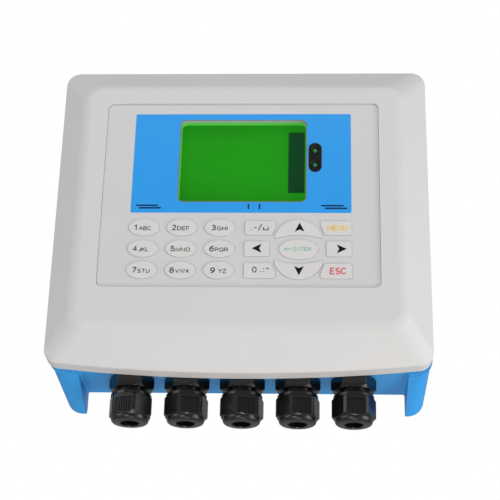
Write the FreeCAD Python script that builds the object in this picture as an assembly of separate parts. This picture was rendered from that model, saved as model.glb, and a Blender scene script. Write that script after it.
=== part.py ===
import FreeCAD, Part
import math
import os

# Wall-mounted utility meter. Millimetres. X right, Z up, the viewer stands at -Y.
# The back of the base lies on y = 0. The cover's middle is at x = 0, and the base and the glands sit
# slightly to its right.

V = FreeCAD.Vector
X_AXIS = V(1, 0, 0)
Y_AXIS = V(0, 1, 0)
Z_AXIS = V(0, 0, 1)

# Cover: a flat plateau, sloped sides, a rim and a straight skirt round the base.
PLATEAU_Y = -56.0
PLATEAU_HALF = 79.0
PLATEAU_TOP = 69.3
PLATEAU_BOTTOM = -59.0
PLATEAU_CORNER_R = 9.0
RIM_Y = -43.5
RIM_HALF = 92.0
RIM_TOP = 85.0
RIM_BOTTOM = -74.0
RIM_BOW = 4.3
RIM_CORNER_R = 7.0
SKIRT_END_Y = -35.5
COVER_WALL = 2.5
PLATEAU_EDGE_R = 8.0
RIM_EDGE_R = 1.2
LEDGE_Y = -41.5

# Recess in the plateau and the stack of films in it.
PANEL_HALF = 67.5
PANEL_TOP = 60.0
PANEL_BOTTOM = -40.0
PANEL_CORNER_R = 3.0
RECESS_FLOOR_Y = -53.4
RECESS_BACK_Y = -51.4
OVERLAY_FRONT_Y = -55.2
OVERLAY_BACK_Y = -54.9
SPACER_BACK_Y = -53.6

# Display and infrared port.
WINDOW_X = 0.7
WINDOW_Z = 27.95
WINDOW_W = 62.0
WINDOW_H = 44.7
WINDOW_CORNER_R = 2.5
IR_X = 36.2
IR_Z = 29.7
IR_W = 6.4
IR_H = 16.0
LED_Z = (33.6, 25.7)
LED_R = 1.5

# Keys.
KEY_FRONT_Y = -55.65
KEY_FLANGE_Y = -54.8
KEY_BACK_Y = -54.5
KEY_FLANGE = 0.3
KEY_GAP = 0.15
OVAL_W = 14.8
OVAL_H = 8.9
OVAL_FIRST_X = -46.1
OVAL_FIRST_Z = -8.6
OVAL_PITCH_X = 18.34
OVAL_PITCH_Z = 11.19
PAD_X = 28.4
PAD_Z = -20.0

# Base.
BASE_FRONT_Y = -35.1
BASE_HALF_FRONT = 90.9
BASE_HALF_BACK = 87.3
BASE_FRONT_X = 0.6
BASE_BACK_X = 2.0
BASE_TOP_FRONT = 82.6
BASE_TOP_BACK = 80.8
WING_BOTTOM_FRONT = -75.5
WING_BOTTOM_BACK = -87.5
BASE_CORNER_R = 8.0
BACK_EDGE_R = 4.0
BEAD_DEPTH = 1.6
BEAD_OUT = 0.5
BAY_HALF = 78.5
BAY_X = 2.1
BAY_CORNER_R = 1.2
BAY_CEILING = -74.5
BASE_WALL = 2.8
PAD_TOP = -68.6
TONGUE_Y = -40.0
TONGUE_HALF = 88.6
TONGUE_TOP = 81.6
TONGUE_BOTTOM = -71.2
CAVITY_HALF = 85.8
MAIN_HALF = 85.0
CAVITY_TOP = 78.8
TUBE_X = 79.5
TUBE_TOP_Z = 74.0
TUBE_BOTTOM_Z = -63.0
TUBE_R = 5.0
TUBE_END_Y = -36.0
SCREW_R = 1.9
KEYHOLE_X = 60.0
KEYHOLE_Z = 44.0
KEYHOLE_R = 4.5
KEYHOLE_SLOT_R = 2.3
KEYHOLE_RISE = 9.0

# Cable glands, pointing down.
GLAND_COUNT = 5
GLAND_PITCH = 26.6
GLAND_MIDDLE_X = 1.7
GLAND_Y = -25.6
THREAD_R = 7.6
HEX_AF = 19.0
THREAD_TOP = -61.5
HEX_TOP = -75.3
HEX_BOTTOM = -81.5
NECK_BOTTOM = -91.0
NUT_TOP = -83.4
NUT_HEX_BOTTOM = -94.0
NUT_FACE_R = 8.2
NUT_COLLAR_R = 9.75
NUT_END = -97.8
RIB_TOP = -87.2
RIB_BOTTOM = -94.7
RIB_HALF = 4.2
NUT_BORE_R = 7.75
NUT_MOUTH_R = 4.4
SEAL_R = 5.9
SEAL_BORE_R = 4.0
SEAL_SEAT = -81.0
LUMEN_BOTTOM_R = 4.8
LUMEN_TOP_R = 5.3
SEAL_TOP = -83.6
SEAL_BOTTOM = -93.3
NUT_TURNS = (-14.6, 17.0, 17.0, 13.5, 5.5)

# Boards.
BOARD_T = 1.6
MAIN_BOARD_Y = -40.0
TERMINAL_BOARD_Y = -14.0


def box(x0, x1, y0, y1, z0, z1):
    """A box between two corners."""
    return Part.makeBox(x1 - x0, y1 - y0, z1 - z0, V(x0, y0, z0))


def rod(r, y0, y1, x, z):
    """A cylinder along Y between two depths given in either order."""
    return Part.makeCylinder(r, abs(y1 - y0), V(x, min(y0, y1), z), Y_AXIS)


def post(r, z0, z1, x, y):
    """A cylinder along Z."""
    return Part.makeCylinder(r, z1 - z0, V(x, y, z0), Z_AXIS)


def tube_z(outer, inner, z0, z1, x, y):
    """A ring along Z."""
    return post(outer, z0, z1, x, y).cut(post(inner, z0 - 1, z1 + 1, x, y))


def outline(y, half, top, bottom, r, bow=0.0):
    """A closed wire in the plane at y: a rectangle with round corners and a bowed lower edge."""
    k = r * (1 - math.sqrt(0.5))
    points = [
        (half, bottom + r), (half, top - r), (half - k, top - k), (half - r, top),
        (-half + r, top), (-half + k, top - k), (-half, top - r), (-half, bottom + r),
        (-half + k, bottom + k), (-half + r, bottom), (half - r, bottom), (half - k, bottom + k),
    ]
    p = [V(x, y, z) for x, z in points]
    middle = V(0, y, bottom - bow)
    edges = [
        Part.makeLine(p[0], p[1]),
        Part.Arc(p[1], p[2], p[3]).toShape(),
        Part.makeLine(p[3], p[4]),
        Part.Arc(p[4], p[5], p[6]).toShape(),
        Part.makeLine(p[6], p[7]),
        Part.Arc(p[7], p[8], p[9]).toShape(),
    ]
    if bow:
        edges.append(Part.Arc(p[9], middle, p[10]).toShape())
    else:
        edges.append(Part.makeLine(p[9], p[10]))
    edges.append(Part.Arc(p[10], p[11], p[0]).toShape())
    return Part.Wire(edges)


def loft(first, second):
    """A straight-sided solid between two outlines."""
    return Part.makeLoft([first, second], True, True)


def prism(wire, depth):
    """A flat wire in an XZ plane pushed back along +Y."""
    return Part.Face(wire).extrude(V(0, depth, 0))


def plate(y0, y1, w, h, r, x=0.0, z=0.0):
    """A rounded rectangular plate between two depths."""
    wire = outline(y0, w / 2, h / 2, -h / 2, r)
    wire.translate(V(x, 0, z))
    return prism(wire, y1 - y0)


def ellipse_plate(y0, y1, w, h, x, z):
    """An elliptical plate between two depths; w is the longer axis."""
    curve = Part.Ellipse(V(x + w / 2, y0, z), V(x, y0, z - h / 2), V(x, y0, z))
    return prism(Part.Wire([curve.toShape()]), y1 - y0)


def capsule(y0, y1, w, h, x, z):
    """An upright slot-shaped plate with fully round ends."""
    r = w / 2
    half = h / 2 - r
    middle = box(x - r, x + r, y0, y1, z - half, z + half)
    ends = [rod(r, y0, y1, x, z + half), rod(r, y0, y1, x, z - half)]
    return middle.multiFuse(ends).removeSplitter()


def rounded_wire(points, y, r):
    """A closed wire through corner points, each corner rounded by r."""
    edges = []
    starts = []
    ends = []
    count = len(points)
    for i in range(count):
        before = V(points[i - 1][0], y, points[i - 1][1])
        here = V(points[i][0], y, points[i][1])
        after = V(points[(i + 1) % count][0], y, points[(i + 1) % count][1])
        u = (before - here).normalize()
        w = (after - here).normalize()
        half_angle = u.getAngle(w) / 2
        reach = r / math.tan(half_angle)
        a = here + u * reach
        b = here + w * reach
        bisector = (u + w).normalize()
        middle = here + bisector * (r / math.sin(half_angle) - r)
        starts.append(a)
        ends.append(b)
        edges.append(Part.Arc(a, middle, b).toShape())
    joined = []
    for i in range(count):
        joined.append(edges[i])
        joined.append(Part.makeLine(ends[i], starts[(i + 1) % count]))
    return Part.Wire(joined)


def key_shape(kind, grow, y):
    """The outline of one function key, made larger by grow on every side, as a wire at y."""
    if kind == "up" or kind == "down":
        wire = crescent(grow, y)
        if kind == "down":
            wire = wire.mirror(V(0, 0, PAD_Z), Z_AXIS)
        return wire
    corners = KEY_CORNERS[kind]
    wire = rounded_wire(corners, y, KEY_CORNER_R)
    if grow:
        wire = wire.makeOffset2D(grow, 0, False, False)
    return wire


def crescent(grow, y):
    """The up key: a half-round top edge and a shallow hollow lower edge."""
    tip_z = PAD_Z + CRESCENT_TIP
    tip = CRESCENT_HALF
    a = V(PAD_X - tip, y, tip_z)
    b = V(PAD_X + tip, y, tip_z)
    top = V(PAD_X, y, PAD_Z + CRESCENT_TOP)
    low = V(PAD_X, y, PAD_Z + CRESCENT_HOLLOW)
    upper = Part.Arc(a, top, b).toShape()
    lower = Part.Arc(b, low, a).toShape()
    sharp = Part.Wire([upper, lower])
    inner = sharp.makeOffset2D(-CRESCENT_TIP_R, 0, False, False)
    return inner.makeOffset2D(CRESCENT_TIP_R + grow, 0, False, False)


# Corner points (x, z) of the function keys round the four-way pad.
KEY_CORNER_R = 0.9
CRESCENT_HALF = 11.8
CRESCENT_TIP = 5.5
CRESCENT_TOP = 15.6
CRESCENT_HOLLOW = 7.6
CRESCENT_TIP_R = 0.6
KEY_CORNERS = {
    "dash": [(2.6, -5.1), (17.5, -5.1), (17.5, -8.0), (15.5, -12.4), (2.6, -12.4)],
    "left": [(2.5, -15.8), (14.5, -15.8), (14.5, -23.7), (2.5, -23.7)],
    "zero": [(2.5, -27.2), (15.6, -27.2), (17.5, -31.8), (17.5, -35.0), (2.5, -35.0)],
    "menu": [(38.8, -5.1), (53.8, -5.1), (53.8, -12.4), (41.0, -12.4), (38.8, -7.4)],
    "right": [(41.7, -15.8), (53.8, -15.8), (53.8, -23.7), (41.7, -23.7)],
    "escape": [(41.0, -27.4), (53.8, -27.4), (53.8, -35.1), (38.8, -35.1), (38.8, -32.4)],
}


def function_key_plate(kind, grow, y0, y1):
    """A plate with the outline of a function key."""
    return prism(key_shape(kind, grow, y0), y1 - y0)


def oval_centres():
    """Centres of the nine oval keys, left to right and top to bottom."""
    centres = []
    for row in range(3):
        for column in range(3):
            x = OVAL_FIRST_X + column * OVAL_PITCH_X
            z = OVAL_FIRST_Z - row * OVAL_PITCH_Z
            centres.append((x, z))
    return centres


def key_plates(grow, y0, y1):
    """One plate per key: node name and shape."""
    plates = {}
    for number, (x, z) in enumerate(oval_centres(), 1):
        width = OVAL_W + 2 * grow
        height = OVAL_H + 2 * grow
        plates["key_%d" % number] = ellipse_plate(y0, y1, width, height, x, z)
    plates["key_enter"] = ellipse_plate(
        y0, y1, ENTER_W + 2 * grow, ENTER_H + 2 * grow, PAD_X, PAD_Z
    )
    for kind in ("dash", "up", "menu", "left", "right", "zero", "down", "escape"):
        plates["key_" + kind] = function_key_plate(kind, grow, y0, y1)
    return plates


ENTER_W = 18.6
ENTER_H = 10.4


def round_front_edges(solid, y, r):
    """Round the edges that lie in the plane at y; leave them sharp where that cannot be built."""
    edges = []
    for e in solid.Edges:
        bb = e.BoundBox
        if abs(bb.YMin - y) < 1e-6 and abs(bb.YMax - y) < 1e-6:
            edges.append(e)
    return solid.makeFillet(r, edges)


def keys():
    """Every key: a cap that stands proud of the overlay, on a flange held behind it."""
    caps = key_plates(0.0, KEY_FRONT_Y, KEY_FLANGE_Y)
    flanges = key_plates(KEY_FLANGE, KEY_FLANGE_Y, KEY_BACK_Y)
    made = {}
    for name in caps:
        cap = round_front_edges(caps[name], KEY_FRONT_Y, 0.25)
        made[name] = cap.fuse(flanges[name]).removeSplitter()
    return made


def overlay():
    """The printed top film on its spacer, open at every key, the window and the infrared port."""
    gap = 0.15
    w = 2 * (PANEL_HALF - gap)
    h = PANEL_TOP - PANEL_BOTTOM - 2 * gap
    middle_z = (PANEL_TOP + PANEL_BOTTOM) / 2
    film = plate(OVERLAY_FRONT_Y, OVERLAY_BACK_Y, w, h, PANEL_CORNER_R, 0, middle_z)
    holes = list(key_plates(KEY_GAP, OVERLAY_FRONT_Y - 1, OVERLAY_BACK_Y + 1).values())
    holes.append(window_plate(0.0, OVERLAY_FRONT_Y - 1, OVERLAY_BACK_Y + 1))
    holes.append(ir_plate(0.05, OVERLAY_FRONT_Y - 1, OVERLAY_BACK_Y + 1))
    film = film.cut(Part.makeCompound(holes))
    spacer = plate(OVERLAY_BACK_Y, SPACER_BACK_Y, w, h, PANEL_CORNER_R, 0, middle_z)
    wide = KEY_FLANGE + 0.12
    pockets = list(key_plates(wide, OVERLAY_BACK_Y - 1, SPACER_BACK_Y + 1).values())
    pockets.append(window_plate(1.5, OVERLAY_BACK_Y - 1, SPACER_BACK_Y + 1))
    pockets.append(ir_plate(0.05, OVERLAY_BACK_Y - 1, SPACER_BACK_Y + 1))
    spacer = spacer.cut(Part.makeCompound(pockets))
    return film.fuse(spacer).removeSplitter()


def window_plate(grow, y0, y1):
    """A plate the size of the display window, made larger by grow on every side."""
    return plate(
        y0, y1, WINDOW_W + 2 * grow, WINDOW_H + 2 * grow, WINDOW_CORNER_R + grow, WINDOW_X, WINDOW_Z
    )


def ir_plate(grow, y0, y1):
    """A plate the size of the infrared port, made larger by grow on every side."""
    return capsule(y0, y1, IR_W + 2 * grow, IR_H + 2 * grow, IR_X, IR_Z)


def switch_film():
    """The contact film on the recess floor, with a low metal dome under each key."""
    gap = 1.5
    top = 0.5
    bottom = PANEL_BOTTOM + gap
    film = box(-PANEL_HALF + gap, PANEL_HALF - gap, SPACER_BACK_Y, RECESS_FLOOR_Y, bottom, top)
    domes = []
    for x, z in oval_centres() + FUNCTION_CENTRES:
        domes.append(Part.makeCone(2.6, 1.8, 0.3, V(x, SPACER_BACK_Y, z), V(0, -1, 0)))
    return film.multiFuse(domes).removeSplitter()


FUNCTION_CENTRES = [
    (10.0, -8.8), (8.5, -19.8), (10.0, -31.2), (PAD_X, -8.4), (PAD_X, PAD_Z), (PAD_X, -31.6),
    (47.0, -8.8), (47.8, -19.8), (47.0, -31.2),
]

BOSSES = [(-55.0, 42.0), (55.0, 42.0), (-55.0, -30.0), (55.0, -30.0)]
BOSS_R = 3.5
BOSS_HOLE_R = 1.25
TUBES = [
    (-TUBE_X, TUBE_TOP_Z), (TUBE_X, TUBE_TOP_Z), (-TUBE_X, TUBE_BOTTOM_Z), (TUBE_X, TUBE_BOTTOM_Z),
]


def cover():
    """The front cover: plateau, slopes, rim and skirt, hollow behind, with the panel recess."""
    front = outline(
        PLATEAU_Y, PLATEAU_HALF, PLATEAU_TOP, PLATEAU_BOTTOM, PLATEAU_CORNER_R, 1.0
    )
    rim = outline(RIM_Y, RIM_HALF, RIM_TOP, RIM_BOTTOM, RIM_CORNER_R, RIM_BOW)
    slopes = loft(front, rim)
    skirt = prism(rim, SKIRT_END_Y - RIM_Y)
    body = slopes.fuse(skirt).removeSplitter()
    body = round_front_edges(body, PLATEAU_Y, PLATEAU_EDGE_R)
    body = round_front_edges(body, RIM_Y, RIM_EDGE_R)
    inner_front = outline(-53.5, 77.2, 67.3, -56.5, 7.0)
    inner_back = outline(LEDGE_Y, CAVITY_HALF - 0.3, CAVITY_TOP - 0.3, -68.3, 4.0)
    pocket = outline(
        LEDGE_Y, RIM_HALF - COVER_WALL, RIM_TOP - COVER_WALL, RIM_BOTTOM + COVER_WALL, 5.0, RIM_BOW
    )
    body = body.cut(loft(inner_front, inner_back))
    body = body.cut(prism(pocket, 10.0))
    w = 2 * PANEL_HALF
    h = PANEL_TOP - PANEL_BOTTOM
    middle_z = (PANEL_TOP + PANEL_BOTTOM) / 2
    # Extra material behind the recess keeps the wall even, then the recess is cut.
    pad = plate(PLATEAU_Y + 1, RECESS_BACK_Y, w + 6, h + 6, 5.0, 0, middle_z)
    body = body.fuse(pad)
    recess = plate(PLATEAU_Y - 5, RECESS_FLOOR_Y, w, h, PANEL_CORNER_R, 0, middle_z)
    bosses = []
    holes = [recess, window_plate(0.2, -60.0, -45.0)]
    for x, z in BOSSES:
        bosses.append(rod(BOSS_R, RECESS_BACK_Y, MAIN_BOARD_Y, x, z))
        holes.append(rod(BOSS_HOLE_R, RECESS_BACK_Y + 1.5, MAIN_BOARD_Y + 1, x, z))
    for x, z in TUBES:
        bosses.append(rod(4.5, -48.5, TUBE_END_Y - 0.4, x, z))
        holes.append(rod(SCREW_R + 0.1, -47.0, TUBE_END_Y + 1, x, z))
    for z in LED_Z:
        holes.append(rod(LED_R + 0.15, -60.0, -45.0, IR_X, z))
    outside = prism(rim, 20.0).fuse(slopes)
    kept = [b.common(outside) for b in bosses]
    body = body.multiFuse(kept)
    return body.cut(Part.makeCompound(holes)).removeSplitter()


def base_outer():
    """The solid outside of the base with its bead at the parting line, side wings and rounded back."""
    front = outline(
        BASE_FRONT_Y, BASE_HALF_FRONT, BASE_TOP_FRONT, WING_BOTTOM_FRONT, BASE_CORNER_R
    )
    back = outline(0.0, BASE_HALF_BACK, BASE_TOP_BACK, WING_BOTTOM_BACK, BASE_CORNER_R)
    front.translate(V(BASE_FRONT_X, 0, 0))
    back.translate(V(BASE_BACK_X, 0, 0))
    block = loft(front, back)
    edges = []
    for e in block.Edges:
        bb = e.BoundBox
        if abs(bb.YMin) < 1e-6 and abs(bb.YMax) < 1e-6:
            edges.append(e)
    block = block.makeFillet(BACK_EDGE_R, edges)
    bead = outline(
        BASE_FRONT_Y,
        BASE_HALF_FRONT + BEAD_OUT,
        BASE_TOP_FRONT + BEAD_OUT,
        WING_BOTTOM_FRONT - BEAD_OUT,
        BASE_CORNER_R,
    )
    bead.translate(V(BASE_FRONT_X, 0, 0))
    tongue = outline(TONGUE_Y, TONGUE_HALF, TONGUE_TOP, TONGUE_BOTTOM, 5.0)
    return block.multiFuse([prism(bead, BEAD_DEPTH), prism(tongue, 8.0)])


def keyhole(x, y0, y1):
    """The shape cut by one keyhole: a round opening with a narrower slot above it."""
    opening = rod(KEYHOLE_R, y0, y1, x, KEYHOLE_Z)
    slot = box(
        x - KEYHOLE_SLOT_R, x + KEYHOLE_SLOT_R, y0, y1, KEYHOLE_Z, KEYHOLE_Z + KEYHOLE_RISE
    )
    end = rod(KEYHOLE_SLOT_R, y0, y1, x, KEYHOLE_Z + KEYHOLE_RISE)
    return opening.multiFuse([slot, end])


STANDOFFS = [(-66.0, 30.0), (66.0, 30.0), (-66.0, -48.0), (66.0, -48.0)]


def base_shell():
    """The base: an open box with a gland bay below, wings at both sides, tubes for the cover screws."""
    body = base_outer()
    bay_left = BAY_X - BAY_HALF
    bay_right = BAY_X + BAY_HALF
    bay = box(bay_left, bay_right, BASE_FRONT_Y - 5, 10, -120, BAY_CEILING)
    upright = [e for e in bay.Edges if abs(e.BoundBox.ZMin - BAY_CEILING) < 1e-6
               and abs(e.BoundBox.ZMax - BAY_CEILING) < 1e-6 and e.BoundBox.YLength > 1]
    body = body.cut(bay.makeFillet(BAY_CORNER_R, upright))
    floor_z = BAY_CEILING + BASE_WALL
    main_left = BASE_BACK_X - MAIN_HALF
    main_right = BASE_BACK_X + MAIN_HALF
    main = box(main_left, main_right, -33.2, -BASE_WALL, floor_z, CAVITY_TOP)
    mouth = box(-CAVITY_HALF, CAVITY_HALF, TONGUE_Y - 5, -33.2, TONGUE_BOTTOM + 2.6, CAVITY_TOP)
    body = body.cut(main.fuse(mouth))
    # The wings are hollow from behind.
    for side in (-1, 1):
        inner_side = BAY_X + side * (BAY_HALF + BASE_WALL)
        outer_side = BASE_BACK_X + side * (BASE_HALF_BACK - BASE_WALL)
        x0, x1 = sorted((inner_side, outer_side))
        body = body.cut(box(x0, x1, -16.0, 10, -78.6, BAY_CEILING - 1.0))
    # A shallow rebate along the back edge of the bay ceiling.
    rebate = box(bay_left, bay_right, -2.5, 1, BAY_CEILING - BAY_CORNER_R - 0.1, BAY_CEILING + 1.2)
    body = body.cut(rebate)
    added = []
    holes = []
    for x, z in TUBES:
        added.append(rod(TUBE_R, -BASE_WALL + 0.5, TUBE_END_Y, x, z))
        holes.append(rod(SCREW_R + 0.25, TUBE_END_Y - 1, 1, x, z))
        holes.append(rod(3.6, -6.0, 1, x, z))
    for x, z in STANDOFFS:
        added.append(rod(3.4, -BASE_WALL + 0.5, TERMINAL_BOARD_Y + BOARD_T, x, z))
        holes.append(rod(BOSS_HOLE_R, -4.0, TERMINAL_BOARD_Y, x, z))
    for x in (-KEYHOLE_X, KEYHOLE_X):
        added.append(plate(-8.0, -BASE_WALL + 0.5, 15.0, 24.0, 3.0, x, KEYHOLE_Z + 4.0))
        holes.append(keyhole(x, -BASE_WALL, 1))
        holes.append(plate(-6.5, -BASE_WALL, 10.5, 19.5, 2.0, x, KEYHOLE_Z + 4.0))
    # A raised pad stiffens the floor where the glands pass through it.
    added.append(box(-64.5, 67.5, -33.5, -13.0, floor_z - 0.5, PAD_TOP))
    for x in gland_xs():
        holes.append(post(THREAD_R + 0.1, BAY_CEILING - 5, BAY_CEILING + 10, x, GLAND_Y))
    body = body.multiFuse(added)
    return body.cut(Part.makeCompound(holes)).removeSplitter()


def gasket():
    """The seal that lies on the end of the base's tongue."""
    outer = outline(TONGUE_Y - 1.2, TONGUE_HALF - 0.2, TONGUE_TOP - 0.2, TONGUE_BOTTOM + 0.2, 5.0)
    inner = outline(TONGUE_Y - 1.2, CAVITY_HALF + 0.2, CAVITY_TOP + 0.2, TONGUE_BOTTOM + 2.4, 3.0)
    return prism(outer, 1.2).cut(prism(inner, 1.2))


def screw(x, y_head, y_tip, z, shank_r, head_r, head_t, direction):
    """A pan-head screw along Y with a cross slot; direction is +1 where the head is at larger y."""
    shank_low, shank_high = sorted((y_head, y_tip))
    shank = rod(shank_r, shank_low, shank_high, x, z)
    far = y_head + direction * head_t
    head_low, head_high = sorted((y_head, far))
    head = rod(head_r, head_low, head_high, x, z)
    slot_low, slot_high = sorted((far - direction * head_t * 0.45, far + direction))
    reach = head_r * 0.6
    bar = box(x - reach, x + reach, slot_low, slot_high, z - 0.35, z + 0.35)
    cross = box(x - 0.35, x + 0.35, slot_low, slot_high, z - reach, z + reach)
    return shank.fuse(head).cut(bar.fuse(cross))


def gland_xs():
    """X positions of the glands."""
    middle = (GLAND_COUNT - 1) / 2
    return [GLAND_MIDDLE_X + (i - middle) * GLAND_PITCH for i in range(GLAND_COUNT)]


def hexagon(af, z0, z1, x, y, turn_deg):
    """A hexagonal prism along Z by its width across flats; at turn 0 a flat faces -Y."""
    r = af / 2 / math.cos(math.pi / 6)
    points = []
    for i in range(7):
        a = math.radians(turn_deg + 60 * i + 60)
        points.append(V(x + r * math.cos(a), y + r * math.sin(a), z0))
    return Part.Face(Part.makePolygon(points)).extrude(V(0, 0, z1 - z0))


def revolve_z(profile, x, y):
    """A solid turned about the vertical axis at x, y from (radius, height) points."""
    points = [V(x + r, y, z) for r, z in profile]
    points.append(points[0])
    face = Part.Face(Part.makePolygon(points))
    return face.revolve(V(x, y, 0), Z_AXIS, 360)


def gland_body(x):
    """The fixed half of a gland: entry thread, hexagon flange and the ringed neck."""
    y = GLAND_Y
    flange = hexagon(HEX_AF, HEX_BOTTOM, HEX_TOP, x, y, 0)
    limit = revolve_z(
        [(0, HEX_TOP), (10.5, HEX_TOP), (10.8, HEX_TOP - 0.4), (10.8, HEX_BOTTOM + 1.3),
         (9.7, HEX_BOTTOM), (0, HEX_BOTTOM)], x, y)
    flange = flange.common(limit)
    ringed = [(0, HEX_BOTTOM), (THREAD_R - 0.6, HEX_BOTTOM)]
    z = HEX_BOTTOM - 0.5
    while z > NECK_BOTTOM + 1.5:
        ringed += [(THREAD_R - 0.6, z), (THREAD_R, z - 0.45), (THREAD_R, z - 0.75)]
        ringed.append((THREAD_R - 0.6, z - 1.2))
        z -= 1.5
    ringed += [(THREAD_R - 0.6, NECK_BOTTOM + 0.4), (THREAD_R - 1.0, NECK_BOTTOM)]
    ringed.append((0, NECK_BOTTOM))
    neck = revolve_z(ringed, x, y)
    entry = post(THREAD_R, HEX_TOP, THREAD_TOP, x, y)
    body = flange.multiFuse([neck, entry])
    # The lumen above the seal's seat widens upwards with the draft of the moulding.
    lumen = revolve_z(
        [(0, SEAL_SEAT - 1), (LUMEN_BOTTOM_R, SEAL_SEAT - 1), (LUMEN_TOP_R, THREAD_TOP + 1),
         (0, THREAD_TOP + 1)], x, y)
    seat = post(SEAL_R + 0.15, NECK_BOTTOM - 1, SEAL_SEAT, x, y)
    return body.cut(lumen.fuse(seat)).removeSplitter()


def gland_nut(x, turn):
    """The clamping nut: a six-sided grip with ribbed and plain flats, a rounded end and a round mouth."""
    y = GLAND_Y
    grip = hexagon(HEX_AF, NUT_END, NUT_TOP, x, y, turn)
    collar = post(NUT_COLLAR_R, NUT_TOP - 1.8, NUT_TOP, x, y)
    profile = [(0, NUT_TOP), (NUT_COLLAR_R - 0.4, NUT_TOP), (NUT_COLLAR_R, NUT_TOP - 0.5)]
    profile += [(NUT_COLLAR_R, NUT_TOP - 1.8), (10.55, NUT_TOP - 2.5)]
    profile += [(10.55, NUT_HEX_BOTTOM), (9.1, NUT_HEX_BOTTOM - 1.4)]
    profile += [(9.0, NUT_HEX_BOTTOM - 2.1), (8.75, NUT_HEX_BOTTOM - 2.8)]
    profile += [(NUT_FACE_R, NUT_END + 0.5), (NUT_FACE_R - 0.7, NUT_END + 0.3)]
    profile += [(NUT_MOUTH_R + 0.4, NUT_END), (0, NUT_END)]
    nut = grip.fuse(collar).common(revolve_z(profile, x, y))
    nut = nut.cut(post(NUT_BORE_R, NUT_HEX_BOTTOM, NUT_TOP + 1, x, y))
    nut = nut.cut(post(NUT_MOUTH_R, NUT_END - 1, NUT_HEX_BOTTOM + 1, x, y))
    mouth_edge = Part.makeCone(NUT_MOUTH_R, NUT_MOUTH_R + 0.4, 0.4, V(x, y, NUT_END + 0.4),
                               V(0, 0, -1))
    nut = nut.cut(mouth_edge)
    # Every second flat has a shallow sunken panel with fine upright grooves.
    grooves = []
    flat = HEX_AF / 2
    for side in (0, 120, 240):
        panel = box(-RIB_HALF, RIB_HALF, -flat - 2, -flat + 0.3, RIB_BOTTOM, RIB_TOP)
        panel.rotate(V(0, 0, 0), Z_AXIS, side + turn)
        panel.translate(V(x, y, 0))
        grooves.append(panel)
        for i in range(9):
            across = (i - 4) * 0.9
            groove = box(across - 0.24, across + 0.24, -flat - 2, -flat + 0.9, RIB_BOTTOM, RIB_TOP)
            groove.rotate(V(0, 0, 0), Z_AXIS, side + turn)
            groove.translate(V(x, y, 0))
            grooves.append(groove)
    return nut.cut(Part.makeCompound(grooves))


def gland_seal(x):
    """The rubber sleeve that closes on the cable."""
    return revolve_z(
        [(SEAL_BORE_R, SEAL_TOP), (SEAL_R - 0.8, SEAL_TOP), (SEAL_R, SEAL_TOP - 1.2),
         (SEAL_R, SEAL_BOTTOM + 0.8), (SEAL_R - 0.8, SEAL_BOTTOM), (SEAL_BORE_R, SEAL_BOTTOM)],
        x, GLAND_Y)


def board(x0, x1, z0, z1, y, holes, hole_r):
    """A circuit board with its front face at y and round fixing holes."""
    made = box(x0, x1, y, y + BOARD_T, z0, z1)
    for x, z in holes:
        made = made.cut(rod(hole_r, y - 1, y + 3, x, z))
    return made


def terminal_block(x, poles, pitch, z):
    """A row of screw terminals that opens downwards, with its entries and screw wells cut."""
    width = poles * pitch
    y_back = TERMINAL_BOARD_Y
    body = box(x - width / 2, x + width / 2, y_back - 10, y_back, z, z + 10)
    for i in range(poles):
        cx = x + (i - (poles - 1) / 2) * pitch
        body = body.cut(box(cx - 1.6, cx + 1.6, y_back - 4.8, y_back - 1.6, z - 1, z + 6))
        body = body.cut(rod(1.9, y_back - 11, y_back - 6, cx, z + 4.5))
    return body


TERMINALS = [(-44.0, 6, 5.08), (0.0, 6, 5.08), (44.0, 6, 5.08)]
TERMINAL_Z = -46.0


def terminal_screws():
    """One clamping screw in each terminal's well."""
    made = []
    y = TERMINAL_BOARD_Y
    for x, poles, pitch in TERMINALS:
        for i in range(poles):
            cx = x + (i - (poles - 1) / 2) * pitch
            head = rod(1.7, y - 8.0, y - 6.0, cx, TERMINAL_Z + 4.5)
            made.append(head.cut(box(cx - 1.4, cx + 1.4, y - 8.5, y - 7.3,
                                     TERMINAL_Z + 4.2, TERMINAL_Z + 4.8)))
    return made


def header_pins():
    """X and Z positions of the connector between the two boards."""
    return [(-12.7 + 2.54 * i, -22.0 + 2.54 * j) for i in range(10) for j in range(2)]


def write(name, shape):
    """Save one node as a STEP file of one or more solids."""
    if isinstance(shape, (list, tuple)):
        shape = Part.makeCompound(list(shape))
    assert shape.isValid(), name
    assert shape.Solids, name
    for solid in shape.Solids:
        assert solid.isClosed() and solid.Volume > 0, name
    only = Part.makeCompound(shape.Solids) if len(shape.Solids) > 1 else shape.Solids[0]
    only.exportStep("parts/" + name + ".step")


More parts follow.
